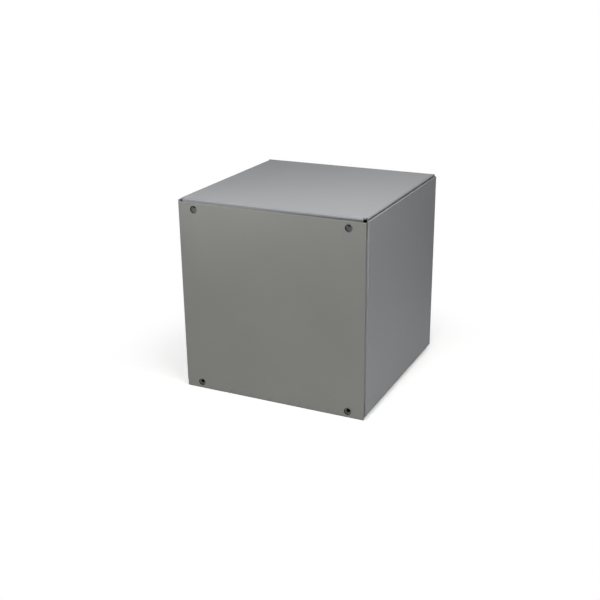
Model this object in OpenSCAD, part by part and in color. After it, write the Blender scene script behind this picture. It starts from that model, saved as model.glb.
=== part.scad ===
// Square enclosure folded from painted sheet, with a flat front cover that lies loose over its screw holes.
// Frame: X to the right, Y to the back, Z up. The origin is on the standing surface, under the middle of the box.

/* [Enclosure] */
// Outside width of the enclosure
body_w = 152.4; // [100:0.1:250]
// Outside height of the enclosure
body_h = 151.9; // [100:0.1:250]
// Outside depth of the enclosure, without its cover
body_d = 146.8; // [90:0.1:250]

/* [Sheet] */
// Thickness of the folded sheet
sheet_t = 1; // [0.8:0.1:2.4]
// Inside radius of every bend
bend_r = 0.2; // [0.2:0.1:2]
// Width of the slits that part neighbouring bends at the back corners
slit_w = 0.3; // [0.2:0.1:0.8]
// How far those slits run past the bend, into the back panel
slit_depth = 1.5; // [0.5:0.1:4]

/* [Side panels] */
// How far the upper edges of the side panels lie below the top
side_top_inset = 1.7; // [0.8:0.1:5]
// How far the lower edges of the side panels lie above the underside
side_bottom_inset = 4.2; // [1.5:0.1:6]

/* [Front flanges] */
// How far each front flange reaches inwards from the outside of the box
flange_reach = 12.5; // [11:0.5:20]
// Gap between the end of a side flange and the flange across it
flange_gap = 1; // [0.5:0.1:3]
// Distance from the sides at which the front bends of the top and bottom end, which leaves the corners open
corner_relief = 4.6; // [3:0.1:10]

/* [Weld tabs] */
// How far the weld tabs reach from the top or underside
tab_reach = 12; // [10:0.5:25]
// How far the weld tabs begin behind the front bends
tab_setback = 2; // [0.5:0.1:10]
// Gap between an upper weld tab and the side panel beside it
top_tab_gap = 1; // [0.2:0.1:2]
// Gap between a lower weld tab and the side panel beside it
bottom_tab_gap = 1.2; // [0.2:0.1:2]
// Diameter of the weld spots that bridge those gaps
weld_d = 5; // [3:0.5:5.5]
// Weld spots along each tab
weld_count = 4; // [2:1:8]

/* [Cover] */
// Thickness of the cover sheet
cover_t = 1.2; // [0.8:0.1:3]
// Gap between the loose cover and the flanges behind it, at the cover's lower edge
cover_gap = 0.1; // [0.1:0.1:1]
// How far the loose cover has come away further at its upper edge
cover_lean = 0.3; // [0:0.1:2]
// How far the cover stays inside each side of the enclosure
cover_side_margin = 1.6; // [0:0.1:4]
// How far a screwed-down cover would stay inside the top and the underside
cover_end_margin = 1.4; // [0.5:0.1:3]
// Height at which the loose cover's lower edge has come to rest
cover_foot = 0.1; // [0.1:0.1:2]
// Radius of the cover's corners
cover_corner_r = 0.6; // [0.2:0.1:4]

/* [Screw holes] */
// Distance of each screw hole from the side of the enclosure
hole_side_inset = 14.4; // [10:0.1:30]
// Distance of the clearance holes from the top or underside, on a cover that is screwed down
hole_end_inset = 6.2; // [5.5:0.1:8.5]
// Distance of the pilot holes from the top or underside of the enclosure
pilot_end_inset = 5.2; // [4:0.1:8.5]
// Diameter of the clearance holes in the cover
cover_hole_d = 5.6; // [3.5:0.1:6.5]
// Diameter of the pilot holes in the flanges
pilot_d = 3.3; // [2:0.1:4]

/* [Hidden] */
$fn = 64;
body_colour = "#7c7c79";
cover_colour = "#7d7d7a";
// Overshoot of a cut past the face that it starts from
cut_over = 1;
// Length over which a bend's two ends lap into the flat sheet beside it
lap = slit_w / 3;
// Outside radius of every bend
bend_out = bend_r + sheet_t;
// Outside faces of the enclosure
x_side = body_w / 2;
y_back = (body_d + cover_gap + cover_lean + cover_t) / 2;
y_flange = y_back - body_d;
// Half width of the front bends of the top and bottom panels
x_front = x_side - corner_relief;
// Where the side panels begin and end
side_z0 = side_bottom_inset;
side_z1 = body_h - side_top_inset;
// Outside face of a weld tab, and the edge of the flat panel between the bends of two tabs
function x_tab(tab_gap) = x_side - sheet_t - tab_gap;
function x_flat(tab_gap) = x_tab(tab_gap) - bend_out;
// Half width of the bends between the back panel and the top or the bottom panel
x_top_bend = x_side - bend_out - slit_w;
x_bottom_bend = x_flat(bottom_tab_gap);
// Length of the straight stretch of a panel between its front and back bends
straight_d = body_d - 2 * bend_out;
// Length of a weld tab, and the pitch of its weld spots
tab_l = straight_d - tab_setback - slit_w;
weld_pitch = tab_l / weld_count;
// Distance of the weld spots from the outside, in the middle of where a tab and a side panel lie together
function weld_z(side_inset) = (tab_reach + max(bend_out, side_inset)) / 2;
// Half the distance between the screw holes, across and up
hole_x = x_side - hole_side_inset;
hole_z = body_h / 2 - hole_end_inset;
// Outline of the cover
cover_w = body_w - 2 * cover_side_margin;
cover_h = body_h - 2 * cover_end_margin;
// Angle at which the loose cover has come to rest
lean_angle = asin(cover_lean / cover_h);

// Section of one bend, a quarter ring in the first quadrant with a short straight end on either side
module bend_section() {
  intersection() {
    difference() {
      circle(r = bend_out);
      circle(r = bend_r);
    }
    square(bend_out);
  }
  translate([bend_r, -lap]) square([sheet_t, lap]);
  translate([-lap, bend_r]) square([lap, sheet_t]);
}

// Copies its children to the left and to the right
module both_sides() {
  for (side = [0, 1])
    mirror([side, 0, 0]) children();
}

// Turns what is drawn at the underside over to the top
module at_top() {
  translate([0, 0, body_h]) mirror([0, 0, 1]) children();
}

// Stands a section drawn in Y and Z on its edge and draws it out to both sides of the middle
module across(half_width) {
  rotate([90, 0, 90])
    translate([0, 0, -half_width])
      linear_extrude(2 * half_width) children();
}

// Right side panel with its bends at the front and the back, seen from above
module side_section() {
  translate([x_side - bend_out, y_flange + bend_out]) mirror([0, 1]) bend_section();
  translate([x_side - sheet_t, y_flange + bend_out]) square([sheet_t, straight_d]);
  translate([x_side - bend_out, y_back - bend_out]) bend_section();
}

// Right front flange, cut short to clear the flanges above and below it
module side_flange() {
  flange_z = flange_reach + flange_gap;
  translate([x_side - flange_reach, y_flange, flange_z])
    cube([flange_reach - bend_out, sheet_t, body_h - 2 * flange_z]);
}

// Right side of the enclosure
module side_panel() {
  translate([0, 0, side_z0]) linear_extrude(side_z1 - side_z0) side_section();
  side_flange();
}

// Back panel between its four bends
module back_panel() {
  back_w = 2 * (x_side - bend_out);
  translate([-back_w / 2, y_back - sheet_t, bend_out])
    cube([back_w, sheet_t, body_h - 2 * bend_out]);
}

// Slit at the lower right corner of the back panel, between the end of the bend below it and the side's bend
module corner_slit(bend_x) {
  translate([bend_x, y_back - sheet_t - cut_over, bend_out - cut_over])
    cube([x_side - bend_out - bend_x, sheet_t + 2 * cut_over, slit_depth + cut_over]);
}

// Front flange and bend of the bottom panel, seen from the side
module end_flange_section() {
  translate([y_flange, bend_out]) square([sheet_t, flange_reach - bend_out]);
  translate([y_flange + bend_out, bend_out]) rotate(180) bend_section();
}

// Flat bottom panel between its front and back bends, seen from the side
module end_section() {
  translate([y_flange + bend_out, 0]) square([straight_d, sheet_t]);
}

// Bend from the bottom panel to the back panel, seen from the side
module back_bend_section() {
  translate([y_back - bend_out, bend_out]) rotate(-90) bend_section();
}

// Right edge of the bottom panel, turned up into a weld tab, seen from the front
module tab_section(tab_gap) {
  translate([x_flat(tab_gap), bend_out]) rotate(-90) bend_section();
  translate([x_tab(tab_gap) - sheet_t, bend_out]) square([sheet_t, tab_reach - bend_out]);
}

// Right weld tab with the weld spots that hold it to the side panel
module weld_tab(tab_gap, side_inset) {
  spot_x = x_tab(tab_gap) - sheet_t / 2;
  tab_y = y_flange + bend_out + tab_setback;
  translate([0, tab_y + tab_l, 0])
    rotate([90, 0, 0]) linear_extrude(tab_l) tab_section(tab_gap);
  for (spot = [0 : weld_count - 1])
    translate([spot_x, tab_y + (spot + 0.5) * weld_pitch, weld_z(side_inset)])
      rotate([0, 90, 0]) cylinder(h = sheet_t + tab_gap, d = weld_d);
}

// Bottom of the enclosure, with the pilot holes for two of the cover screws
module end_panel(tab_gap, side_inset, bend_x) {
  difference() {
    across(x_front) end_flange_section();
    both_sides()
      translate([hole_x, y_flange - cut_over, pilot_end_inset])
        rotate([-90, 0, 0]) cylinder(h = sheet_t + 2 * cut_over, d = pilot_d);
  }
  across(x_flat(tab_gap)) end_section();
  across(bend_x) back_bend_section();
  both_sides() weld_tab(tab_gap, side_inset);
}

module enclosure_body() {
  color(body_colour)
    difference() {
      union() {
        back_panel();
        both_sides() side_panel();
        end_panel(bottom_tab_gap, side_bottom_inset, x_bottom_bend);
        at_top() end_panel(top_tab_gap, side_top_inset, x_top_bend);
      }
      both_sides() corner_slit(x_bottom_bend);
      at_top() both_sides() corner_slit(x_top_bend);
    }
}

// Outline of the cover with small round corners
module cover_outline() {
  square([cover_w - 2 * cover_corner_r, cover_h], center = true);
  square([cover_w, cover_h - 2 * cover_corner_r], center = true);
  for (x = [-1, 1], z = [-1, 1])
    translate([x * (cover_w / 2 - cover_corner_r), z * (cover_h / 2 - cover_corner_r)])
      circle(r = cover_corner_r);
}

// Flat cover around its own middle, with its back on the plane it lies against
module flat_cover() {
  rotate([90, 0, 0])
    difference() {
      linear_extrude(cover_t) cover_outline();
      for (x = [-1, 1], z = [-1, 1])
        translate([x * hole_x, z * hole_z, -cut_over])
          cylinder(h = cover_t + 2 * cut_over, d = cover_hole_d);
    }
}

// The cover is tipped about its lower edge, where it lies closest to the flanges
module front_cover() {
  color(cover_colour)
    translate([0, y_flange - cover_gap, cover_foot])
      rotate([lean_angle, 0, 0])
        translate([0, 0, cover_h / 2]) flat_cover();
}

enclosure_body();
front_cover();
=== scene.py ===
"""Looks of a painted sheet-metal enclosure with a loose front cover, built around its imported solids."""

import math

import bpy
from mathutils import Matrix, Vector


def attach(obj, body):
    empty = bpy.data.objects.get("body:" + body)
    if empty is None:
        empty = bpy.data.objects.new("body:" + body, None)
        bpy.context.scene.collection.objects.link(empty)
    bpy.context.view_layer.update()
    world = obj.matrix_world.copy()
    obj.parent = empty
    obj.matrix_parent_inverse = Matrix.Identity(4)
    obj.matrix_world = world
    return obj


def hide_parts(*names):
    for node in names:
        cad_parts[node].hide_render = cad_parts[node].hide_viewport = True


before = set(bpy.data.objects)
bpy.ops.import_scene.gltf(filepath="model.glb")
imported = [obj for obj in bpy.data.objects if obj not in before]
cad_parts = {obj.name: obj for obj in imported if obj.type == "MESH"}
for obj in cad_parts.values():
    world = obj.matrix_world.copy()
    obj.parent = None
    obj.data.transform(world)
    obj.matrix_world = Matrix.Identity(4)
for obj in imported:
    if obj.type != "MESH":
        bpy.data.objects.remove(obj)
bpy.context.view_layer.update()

bl_info = {
    "name": "Folded Enclosure",
    "version": (1, 0, 0),
    "blender": (4, 5, 0),
    "location": "View3D > Sidebar > Enclosure",
    "description": "Finishes the folded box and its cover in satin grey enamel and sets the studio",
    "category": "Object",
}

MM = 0.001
# Points nearer than this are one point, and faces that turn less than this are one flat face
MERGE_DISTANCE = 0.002 * MM
FLAT_TURN = math.radians(0.3)
# A face looks forwards where the Y axis has more than the first share of its normal,
# and stands across the sheet where it has less than the second
FRONT_SHARE = 0.99
WALL_SHARE = 0.5
# Depth within which faces count as lying in the foremost plane
PLANE_DEPTH = 0.05 * MM
# Distance from the cover's outline within which a wall is its outer edge
RIM = 1 * MM
# Noise textures keep mostly between these values
NOISE_LOW, NOISE_HIGH = 0.3, 0.7
# Share of the pigment speckle in the change of tone, the rest being the thickness of the film
SPECKLE_SHARE = 0.35
# Roughness of the smooth and of the torn stretches on a punched wall
WALL_SMOOTH, WALL_TORN = 0.5, 0.75
# Width of the camera's sensor in millimetres, and how near and how far it sees in metres
SENSOR_WIDTH = 36
CLIP_NEAR, CLIP_FAR = 0.01, 50
# Sides of the round sheet of paper
FLOOR_SIDES = 96
# Place that all the lamps point at, a little before the middle of the box
LAMP_AIM = (0, -0.03, 0.09)
# Name, setting with the power, width in metres and place of each lamp
LAMPS = (
    ("top_lamp", "top_power", 0.2, (0.1, -0.1, 0.365)),
    ("front_lamp", "front_power", 0.8, (0, -1.4, 0.35)),
    ("corner_lamp", "corner_power", 0.1, (-0.06, -0.15, 0.22)),
    ("right_lamp", "right_power", 0.25, (0.47, -0.13, 0.02)),
    ("left_lamp", "left_power", 0.4, (-0.8, 0.05, 0.12)),
    ("back_lamp", "back_power", 0.3, (-0.15, 0.85, 0.02)),
)


def linear(hex_colour):
    """Linear colour of an sRGB hex value such as #8a8b8a."""
    values = [int(hex_colour[i : i + 2], 16) / 255 for i in (1, 3, 5)]
    return [v / 12.92 if v <= 0.04045 else ((v + 0.055) / 1.055) ** 2.4 for v in values]


def add(tree, kind, sets=None, links=None):
    """Adds one node, sets its attributes and constant sockets, and links its inputs."""
    node = tree.nodes.new(kind)
    for key, value in (sets or {}).items():
        if isinstance(key, str) and hasattr(node, key):
            setattr(node, key, value)
        else:
            node.inputs[key].default_value = value
    for key, socket in (links or {}).items():
        tree.links.new(socket, node.inputs[key])
    return node


def new_material(name):
    """A material without nodes yet, and its node tree."""
    material = bpy.data.materials.new(name)
    material.use_nodes = True
    material.node_tree.nodes.clear()
    return material, material.node_tree


class PaintSettings(bpy.types.PropertyGroup):
    """Colours and gloss of the enamel"""

    body_colour: bpy.props.StringProperty(
        name="Body colour", description="sRGB colour of the enamel on the folded box", default="#848688"
    )
    cover_colour: bpy.props.StringProperty(
        name="Cover colour", description="sRGB colour of the enamel on the cover", default="#848481"
    )
    # Painted shade: a darker grey on the flange fronts behind the cover, standing for the shade in the gap above the
    # cover and inside its holes
    flange_shade_colour: bpy.props.StringProperty(
        name="Undercoat colour",
        description="sRGB colour of the undercoat where the cover kept the spray off",
        default="#666768",
    )
    # Tilt, lift and blur of the edge of that painted shade, which reaches higher towards the right
    mask_tilt: bpy.props.FloatProperty(
        name="Mask tilt",
        description="How crooked the cover lay when the box was sprayed",
        default=math.radians(0.9),
        subtype="ANGLE",
    )
    mask_lift: bpy.props.FloatProperty(
        name="Mask lift",
        description="How much higher the cover lay then, at its middle",
        default=0.3 * MM,
        unit="LENGTH",
    )
    mask_blur: bpy.props.FloatProperty(
        name="Mask blur",
        description="Width over which the spray thinned out at the cover's edge",
        default=0.4 * MM,
        unit="LENGTH",
    )
    # Painted shade: the bare walls of the punched holes are coloured near black for the shade inside the holes
    wall_shade_colour: bpy.props.StringProperty(
        name="Wall colour", description="sRGB colour of the bare walls of the punched holes", default="#242423"
    )
    roughness: bpy.props.FloatProperty(
        name="Roughness",
        description="Mean roughness of the satin enamel",
        default=0.5,
        min=0.05,
        max=1,
        subtype="FACTOR",
    )
    roughness_spread: bpy.props.FloatProperty(
        name="Roughness spread",
        description="How far the roughness strays from its mean",
        default=0.03,
        min=0,
        max=0.2,
        subtype="FACTOR",
    )
    tone_spread: bpy.props.FloatProperty(
        name="Tone spread",
        description="Share by which the tone of the enamel strays from its colour",
        default=0.035,
        min=0,
        max=0.5,
        subtype="FACTOR",
    )
    peel_width: bpy.props.FloatProperty(
        name="Peel width",
        description="Spacing of the waves that the sprayed enamel dries to",
        default=2.4 * MM,
        unit="LENGTH",
    )
    peel_height: bpy.props.FloatProperty(
        name="Peel height", description="Height of those waves", default=0.02 * MM, precision=5, unit="LENGTH"
    )
    cloud_width: bpy.props.FloatProperty(
        name="Cloud width",
        description="Spacing of the stretches where the film is a little thicker",
        default=45 * MM,
        unit="LENGTH",
    )
    speckle_width: bpy.props.FloatProperty(
        name="Speckle width", description="Spacing of the pigment speckle", default=0.7 * MM, unit="LENGTH"
    )
    tear_width: bpy.props.FloatProperty(
        name="Tear width",
        description="Spacing of the torn and smooth stretches on a punched wall",
        default=0.35 * MM,
        unit="LENGTH",
    )


class SheetSettings(bpy.types.PropertyGroup):
    """Small sizes of the sheet-metal pieces"""

    edge_round: bpy.props.FloatProperty(
        name="Edge round",
        description="Width of the rounding that paint gives a cut edge",
        default=0.22 * MM,
        unit="LENGTH",
    )
    edge_angle: bpy.props.FloatProperty(
        name="Edge angle",
        description="Faces that meet over this angle meet in a cut edge",
        default=math.radians(40),
        subtype="ANGLE",
    )
    smooth_angle: bpy.props.FloatProperty(
        name="Smooth angle",
        description="Faces that meet under this angle are shaded as one",
        default=math.radians(32),
        subtype="ANGLE",
    )


class StudioSettings(bpy.types.PropertyGroup):
    """Camera, lamps and floor of the studio"""

    lens: bpy.props.FloatProperty(
        name="Lens", description="Focal length on a 36 mm sensor", default=57.084, unit="CAMERA"
    )
    camera_place: bpy.props.FloatVectorProperty(
        name="Camera place",
        description="Where the camera stands",
        default=(0.30286, -0.65167, 0.32515),
        subtype="TRANSLATION",
    )
    azimuth: bpy.props.FloatProperty(
        name="Azimuth",
        description="How far the camera stands round to the right",
        default=math.radians(25.747),
        subtype="ANGLE",
    )
    elevation: bpy.props.FloatProperty(
        name="Elevation",
        description="How far the camera looks down",
        default=math.radians(20.410),
        subtype="ANGLE",
    )
    roll: bpy.props.FloatProperty(
        name="Roll",
        description="Turn of the camera about its own line of sight",
        default=math.radians(-0.666),
        subtype="ANGLE",
    )
    top_power: bpy.props.FloatProperty(
        name="Top power", description="Power of the soft lamp close over the top", default=0.8, unit="POWER"
    )
    front_power: bpy.props.FloatProperty(
        name="Front power", description="Power of the broad lamp well before the front", default=5.4, unit="POWER"
    )
    corner_power: bpy.props.FloatProperty(
        name="Corner power",
        description="Power of the small lamp near the upper left corner",
        default=0.08,
        unit="POWER",
    )
    right_power: bpy.props.FloatProperty(
        name="Right power", description="Power of the low lamp on the right", default=0.85, unit="POWER"
    )
    left_power: bpy.props.FloatProperty(
        name="Left power", description="Power of the low lamp on the left", default=2.8, unit="POWER"
    )
    back_power: bpy.props.FloatProperty(
        name="Back power", description="Power of the low lamp at the back", default=4.0, unit="POWER"
    )
    world_light: bpy.props.FloatProperty(
        name="World light", description="Strength of the even light from all sides", default=0.02, min=0, max=2
    )
    paper_colour: bpy.props.StringProperty(
        name="Paper colour", description="sRGB colour of the paper that the box stands on", default="#f4f4f2"
    )
    floor_radius: bpy.props.FloatProperty(
        name="Floor radius", description="Radius of the paper", default=2.4, unit="LENGTH"
    )
    floor_drop: bpy.props.FloatProperty(
        name="Floor drop",
        description="How far the paper lies below the underside, so that the two don't flicker",
        default=0.2 * MM,
        unit="LENGTH",
    )
    fade_start: bpy.props.FloatProperty(
        name="Fade start",
        description="Distance from the middle at which the paper begins to fade to white",
        default=85 * MM,
        unit="LENGTH",
    )
    fade_end: bpy.props.FloatProperty(
        name="Fade end", description="Distance at which the paper is white", default=190 * MM, unit="LENGTH"
    )
    shadow_lift: bpy.props.FloatProperty(
        name="Shadow lift", description="Light that the paper's shadow gets for the eye", default=0.5, min=0, max=1
    )
    glow: bpy.props.FloatProperty(
        name="Glow", description="Extra light of the near paper in the sides of the box", default=0.18, min=0, max=1
    )
    glow_start: bpy.props.FloatProperty(
        name="Glow start", description="Distance up to which that light is full", default=200 * MM, unit="LENGTH"
    )
    glow_end: bpy.props.FloatProperty(
        name="Glow end", description="Distance at which that light ends", default=340 * MM, unit="LENGTH"
    )


def flange_shade_mask(tree, place, settings):
    """One where shade is painted on the flange fronts, below a line just above the cover's top that rises slightly to
    the right and within the cover's width, and zero around it.
    """
    points = [v.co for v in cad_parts["front_cover"].data.vertices]
    top, half = max(v.z for v in points) + settings.mask_lift, max(v.x for v in points)
    blur = settings.mask_blur
    axes = add(tree, "ShaderNodeSeparateXYZ", None, {"Vector": place})
    edge = add(
        tree,
        "ShaderNodeMath",
        {"operation": "MULTIPLY_ADD", 1: math.tan(settings.mask_tilt), 2: top},
        {0: axes.outputs["X"]},
    )
    depth = add(tree, "ShaderNodeMath", {"operation": "SUBTRACT"}, {0: edge.outputs[0], 1: axes.outputs["Z"]})
    under = add(
        tree, "ShaderNodeMapRange", {"From Min": -blur / 2, "From Max": blur / 2}, {"Value": depth.outputs[0]}
    )
    aside = add(tree, "ShaderNodeMath", {"operation": "ABSOLUTE"}, {0: axes.outputs["X"]})
    within = add(
        tree,
        "ShaderNodeMapRange",
        {"From Min": half - blur, "From Max": half - 2 * blur},
        {"Value": aside.outputs[0]},
    )
    both = add(
        tree,
        "ShaderNodeMath",
        {"operation": "MULTIPLY"},
        {0: under.outputs["Result"], 1: within.outputs["Result"]},
    )
    return both.outputs[0]


def enamel(name, colour, settings, painted_shade=None):
    """Satin stoving enamel sprayed on aluminium sheet: a dense, even grey film over a clean base.
    The eye gets a soft broad reflection, a faint orange peel and hardly any change of tone.
    With a painted shade colour, the part that the mask picks shows that darker colour instead, as painted shade for
    the gap behind the cover."""
    material, tree = new_material(name)
    place = add(tree, "ShaderNodeTexCoord").outputs["Object"]
    peel = add(
        tree,
        "ShaderNodeTexNoise",
        {"Scale": 1 / settings.peel_width, "Detail": 2.0, "Roughness": 0.45},
        {"Vector": place},
    )
    # The film is a few hundredths of a millimetre thicker here and there, over stretches of some centimetres
    cloud = add(
        tree,
        "ShaderNodeTexNoise",
        {"Scale": 1 / settings.cloud_width, "Detail": 3.0, "Roughness": 0.5},
        {"Vector": place},
    )
    # Pigment speckle is about a tenth of a millimetre, drawn several times as wide so that it shows at all
    speckle = add(
        tree,
        "ShaderNodeTexNoise",
        {"Scale": 1 / settings.speckle_width, "Detail": 1.0, "Roughness": 0.5},
        {"Vector": place},
    )
    tone = add(
        tree,
        "ShaderNodeMix",
        {"data_type": "FLOAT", 0: SPECKLE_SHARE},
        {2: cloud.outputs["Fac"], 3: speckle.outputs["Fac"]},
    )
    shades = add(tree, "ShaderNodeValToRGB", None, {"Fac": tone.outputs[0]})
    stops = ((NOISE_LOW, 1 - settings.tone_spread), (NOISE_HIGH, 1 + settings.tone_spread))
    for stop, (position, strength) in zip(shades.color_ramp.elements, stops):
        stop.position = position
        stop.color = [v * strength for v in linear(colour)] + [1]
    film = shades.outputs["Color"]
    # Painted shade: where the mask is one, the film turns to the darker shade colour
    if painted_shade:
        film = add(
            tree,
            "ShaderNodeMix",
            {"data_type": "RGBA", 7: linear(painted_shade) + [1]},
            {0: flange_shade_mask(tree, place, settings), 6: film},
        ).outputs[2]
    gloss = add(
        tree,
        "ShaderNodeMapRange",
        {
            "From Min": NOISE_LOW,
            "From Max": NOISE_HIGH,
            "To Min": settings.roughness - settings.roughness_spread,
            "To Max": settings.roughness + settings.roughness_spread,
        },
        {"Value": cloud.outputs["Fac"]},
    )
    bump = add(
        tree,
        "ShaderNodeBump",
        {"Strength": 0.16, "Distance": settings.peel_height},
        {"Height": peel.outputs["Fac"]},
    )
    shader = add(
        tree,
        "ShaderNodeBsdfPrincipled",
        {"IOR": 1.42, "Metallic": 0.0},
        {"Base Color": film, "Roughness": gloss.outputs["Result"], "Normal": bump.outputs["Normal"]},
    )
    add(tree, "ShaderNodeOutputMaterial", None, {"Surface": shader.outputs["BSDF"]})
    return material


def bare_metal_with_painted_shade(name, colour, settings):
    """Wall of a punched hole: bare aluminium that the spray hardly reaches, torn by the punch, coloured near black as
    painted shade for the inside of the hole.
    """
    material, tree = new_material(name)
    place = add(tree, "ShaderNodeTexCoord").outputs["Object"]
    # The torn band changes from dull to smooth over about a third of a millimetre
    tear = add(tree, "ShaderNodeTexNoise", {"Scale": 1 / settings.tear_width, "Detail": 2.0}, {"Vector": place})
    gloss = add(
        tree,
        "ShaderNodeMapRange",
        {"From Min": NOISE_LOW, "From Max": NOISE_HIGH, "To Min": WALL_SMOOTH, "To Max": WALL_TORN},
        {"Value": tear.outputs["Fac"]},
    )
    shader = add(
        tree,
        "ShaderNodeBsdfPrincipled",
        {"Base Color": linear(colour) + [1], "Metallic": 0.4},
        {"Roughness": gloss.outputs["Result"]},
    )
    add(tree, "ShaderNodeOutputMaterial", None, {"Surface": shader.outputs["BSDF"]})
    return material


def copy_of_node(node, name):
    """A merged copy of a solid's mesh as a new piece, alone selected and active."""
    bpy.ops.object.select_all(action="DESELECT")
    piece = bpy.data.objects.new(name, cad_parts[node].data.copy())
    bpy.context.scene.collection.objects.link(piece)
    piece.data.materials.clear()
    bpy.context.view_layer.objects.active = piece
    piece.select_set(True)
    bpy.ops.object.mode_set(mode="EDIT")
    bpy.ops.mesh.select_all(action="SELECT")
    bpy.ops.mesh.remove_doubles(threshold=MERGE_DISTANCE)
    bpy.ops.mesh.dissolve_limited(angle_limit=FLAT_TURN)
    bpy.ops.mesh.select_all(action="DESELECT")
    bpy.ops.object.mode_set(mode="OBJECT")
    return piece


def finish_piece(piece, body, node, material, sheet):
    """Rounds the cut edges as paint does, smooths the bends, and hands the piece to its body."""
    bevel = piece.modifiers.new("paint_round", "BEVEL")
    bevel.width = sheet.edge_round
    bevel.segments = 2
    bevel.limit_method = "ANGLE"
    bevel.angle_limit = sheet.edge_angle
    bevel.use_clamp_overlap = True
    bevel.miter_outer = "MITER_SHARP"
    bpy.ops.object.modifier_apply(modifier=bevel.name)
    bpy.ops.object.shade_smooth_by_angle(angle=sheet.smooth_angle)
    # The large flat faces keep their own normal, so a panel reflects as a plane right up to its bends
    flat = piece.modifiers.new("flat_panels", "WEIGHTED_NORMAL")
    flat.mode = "FACE_AREA"
    flat.weight = 100
    flat.keep_sharp = True
    bpy.ops.object.modifier_apply(modifier=flat.name)
    piece.data.materials.append(material)
    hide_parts(node)
    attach(piece, body)


def give_second_material(piece, material, faces, what):
    """Gives some faces of a piece a second material, and stops where there are none."""
    if not faces:
        raise RuntimeError("no faces found for " + what)
    piece.data.materials.append(material)
    for face in faces:
        face.material_index = 1


class ENCLOSURE_OT_folded_box(bpy.types.Operator):
    """Makes the folded box with its flanges, weld tabs and pilot holes"""

    bl_idname = "enclosure.folded_box"
    bl_label = "Folded Box"

    def execute(self, context):
        paint = context.scene.enclosure_paint
        piece = copy_of_node("enclosure_body", "folded_box")
        finish_piece(
            piece,
            "enclosure",
            "enclosure_body",
            enamel("box_satin_enamel", paint.body_colour, paint),
            context.scene.enclosure_sheet,
        )
        # The flange fronts get a second enamel with painted shade for the dark gap behind the cover
        give_second_material(
            piece,
            enamel("flange_enamel", paint.body_colour, paint, paint.flange_shade_colour),
            self.flange_fronts(piece),
            "the fronts of the flanges",
        )
        return {"FINISHED"}

    def flange_fronts(self, piece):
        """The faces that look forwards in the foremost plane, which get the painted shade behind the cover."""
        front = min(v.co.y for v in piece.data.vertices)
        return [
            face
            for face in piece.data.polygons
            if face.normal.y < -FRONT_SHARE and face.center.y < front + PLANE_DEPTH
        ]


class ENCLOSURE_OT_cover_plate(bpy.types.Operator):
    """Makes the flat cover with its four clearance holes"""

    bl_idname = "enclosure.cover_plate"
    bl_label = "Cover Plate"

    def execute(self, context):
        paint = context.scene.enclosure_paint
        piece = copy_of_node("front_cover", "cover_plate")
        finish_piece(
            piece,
            "cover",
            "front_cover",
            enamel("cover_satin_enamel", paint.cover_colour, paint),
            context.scene.enclosure_sheet,
        )
        # The hole walls get bare metal coloured near black as painted shade
        give_second_material(
            piece,
            bare_metal_with_painted_shade("bare_hole_wall", paint.wall_shade_colour, paint),
            self.hole_walls(piece),
            "the walls of the holes",
        )
        return {"FINISHED"}

    def hole_walls(self, piece):
        """The faces across the sheet that lie inside the cover's outline."""
        low, high = ([f(v.co[i] for v in piece.data.vertices) for i in (0, 2)] for f in (min, max))
        return [
            face
            for face in piece.data.polygons
            if abs(face.normal.y) < WALL_SHARE
            and low[0] + RIM < face.center.x < high[0] - RIM
            and low[1] + RIM < face.center.z < high[1] - RIM
        ]


def lamp(name, power, size, place, aim):
    """One square soft lamp that points at a place and isn't seen itself."""
    data = bpy.data.lights.new(name, "AREA")
    data.shape = "SQUARE"
    data.size = size
    data.energy = power
    light = bpy.data.objects.new(name, data)
    bpy.context.scene.collection.objects.link(light)
    light.visible_camera = False
    light.location = place
    light.rotation_euler = (Vector(aim) - Vector(place)).to_track_quat("-Z", "Y").to_euler()


def white_for_the_eye(tree, other):
    """One where a ray comes straight from the camera, off a gloss or through glass, and the other value elsewhere."""
    path = add(tree, "ShaderNodeLightPath")
    seen = path.outputs["Is Camera Ray"]
    for kind in ("Is Glossy Ray", "Is Transmission Ray"):
        seen = add(tree, "ShaderNodeMath", {"operation": "MAXIMUM"}, {0: seen, 1: path.outputs[kind]}).outputs[0]
    return add(tree, "ShaderNodeMapRange", {"To Min": other, "To Max": 1.0}, {"Value": seen}).outputs["Result"]


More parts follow.
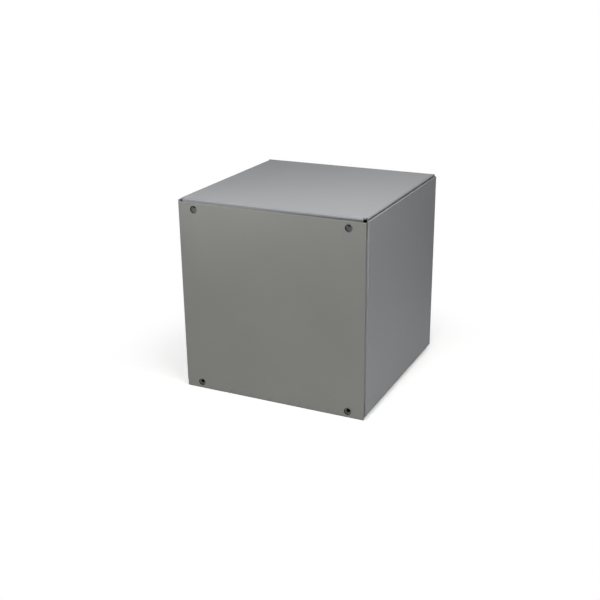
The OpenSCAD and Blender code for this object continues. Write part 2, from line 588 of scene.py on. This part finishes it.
class ENCLOSURE_OT_studio(bpy.types.Operator):
    """Makes the paper floor, the soft lamps, the white surroundings and the camera"""

    bl_idname = "enclosure.studio"
    bl_label = "Studio"

    def execute(self, context):
        settings = context.scene.enclosure_studio
        self.surroundings(context, settings)
        self.floor(settings)
        for name, power, size, place in LAMPS:
            lamp(name, getattr(settings, power), size, place, LAMP_AIM)
        self.camera(context, settings)
        context.scene.view_settings.view_transform = "Standard"
        return {"FINISHED"}

    def surroundings(self, context, settings):
        world = bpy.data.worlds.new("white_studio")
        context.scene.world = world
        world.use_nodes = True
        tree = world.node_tree
        tree.nodes.clear()
        shade = add(
            tree,
            "ShaderNodeBackground",
            {"Color": (1, 1, 1, 1)},
            {"Strength": white_for_the_eye(tree, settings.world_light)},
        )
        add(tree, "ShaderNodeOutputWorld", None, {"Surface": shade.outputs["Background"]})

    def floor(self, settings):
        bpy.ops.object.select_all(action="DESELECT")
        bpy.ops.mesh.primitive_circle_add(
            vertices=FLOOR_SIDES,
            radius=settings.floor_radius,
            fill_type="NGON",
            location=(0, 0, -settings.floor_drop),
        )
        paper = bpy.context.object
        paper.name = "paper_floor"
        paper.data.materials.append(self.paper(settings))

    def paper(self, settings):
        """Matt white card stock, which fades into the white surroundings well away from the box."""
        material, tree = new_material("matt_white_paper")
        place = add(tree, "ShaderNodeTexCoord").outputs["Object"]
        reach = add(tree, "ShaderNodeVectorMath", {"operation": "LENGTH"}, {0: place}).outputs["Value"]
        path = add(tree, "ShaderNodeLightPath")
        fade = add(
            tree,
            "ShaderNodeMapRange",
            {"interpolation_type": "SMOOTHSTEP", "From Min": settings.fade_start, "From Max": settings.fade_end},
            {"Value": reach},
        )
        away = add(
            tree,
            "ShaderNodeMath",
            {"operation": "MULTIPLY"},
            {0: fade.outputs["Result"], 1: path.outputs["Is Camera Ray"]},
        )
        # The paper lifts its own shadow a little for the eye, and shows brighter close by in the sides of the box
        lift = add(
            tree,
            "ShaderNodeMath",
            {"operation": "MULTIPLY", 1: settings.shadow_lift},
            {0: path.outputs["Is Camera Ray"]},
        )
        near = add(
            tree,
            "ShaderNodeMapRange",
            {
                "interpolation_type": "SMOOTHSTEP",
                "From Min": settings.glow_start,
                "From Max": settings.glow_end,
                "To Min": settings.glow,
                "To Max": 0.0,
            },
            {"Value": reach},
        )
        glow = add(
            tree,
            "ShaderNodeMath",
            {"operation": "MULTIPLY_ADD"},
            {0: near.outputs["Result"], 1: path.outputs["Is Glossy Ray"], 2: lift.outputs[0]},
        )
        card = add(
            tree,
            "ShaderNodeBsdfPrincipled",
            {
                "Base Color": linear(settings.paper_colour) + [1],
                "Roughness": 0.9,
                "Emission Color": (1, 1, 1, 1),
            },
            {"Emission Strength": glow.outputs[0]},
        )
        white = add(tree, "ShaderNodeEmission", {"Color": (1, 1, 1, 1), "Strength": 1.0})
        both = add(
            tree, "ShaderNodeMixShader", None, {0: away.outputs[0], 1: card.outputs[0], 2: white.outputs[0]}
        )
        add(tree, "ShaderNodeOutputMaterial", None, {"Surface": both.outputs[0]})
        return material

    def camera(self, context, settings):
        data = bpy.data.cameras.new("photo_camera")
        data.lens = settings.lens
        data.sensor_width = SENSOR_WIDTH
        data.clip_start, data.clip_end = CLIP_NEAR, CLIP_FAR
        camera = bpy.data.objects.new("photo_camera", data)
        context.scene.collection.objects.link(camera)
        a, e, r = settings.azimuth, settings.elevation, settings.roll
        back = Vector((math.sin(a) * math.cos(e), -math.cos(a) * math.cos(e), math.sin(e)))
        level = Vector((math.cos(a), math.sin(a), 0))
        up = back.cross(level)
        right = level * math.cos(r) + up * math.sin(r)
        up = back.cross(right)
        turn = Matrix((right, up, back)).transposed().to_4x4()
        camera.matrix_world = Matrix.Translation(settings.camera_place) @ turn
        context.scene.camera = camera


class ENCLOSURE_PT_sidebar(bpy.types.Panel):
    """Lists the pieces and their settings in the sidebar"""

    bl_idname = "ENCLOSURE_PT_sidebar"
    bl_label = "Folded Enclosure"
    bl_space_type = "VIEW_3D"
    bl_region_type = "UI"
    bl_category = "Enclosure"

    def draw(self, context):
        for group in ("enclosure_paint", "enclosure_sheet", "enclosure_studio"):
            settings = getattr(context.scene, group)
            column = self.layout.column()
            for key in settings.__annotations__:
                column.prop(settings, key)
        for step in STEPS:
            self.layout.operator(step)


STEPS = ("enclosure.folded_box", "enclosure.cover_plate", "enclosure.studio")
CLASSES = (
    PaintSettings,
    SheetSettings,
    StudioSettings,
    ENCLOSURE_OT_folded_box,
    ENCLOSURE_OT_cover_plate,
    ENCLOSURE_OT_studio,
    ENCLOSURE_PT_sidebar,
)


def register():
    for item in CLASSES:
        bpy.utils.register_class(item)
    bpy.types.Scene.enclosure_paint = bpy.props.PointerProperty(type=PaintSettings)
    bpy.types.Scene.enclosure_sheet = bpy.props.PointerProperty(type=SheetSettings)
    bpy.types.Scene.enclosure_studio = bpy.props.PointerProperty(type=StudioSettings)


def unregister():
    del bpy.types.Scene.enclosure_studio
    del bpy.types.Scene.enclosure_sheet
    del bpy.types.Scene.enclosure_paint
    for item in reversed(CLASSES):
        bpy.utils.unregister_class(item)


def main():
    register()
    bpy.ops.enclosure.folded_box()
    bpy.ops.enclosure.cover_plate()
    bpy.ops.enclosure.studio()


if __name__ == "__main__":
    main()
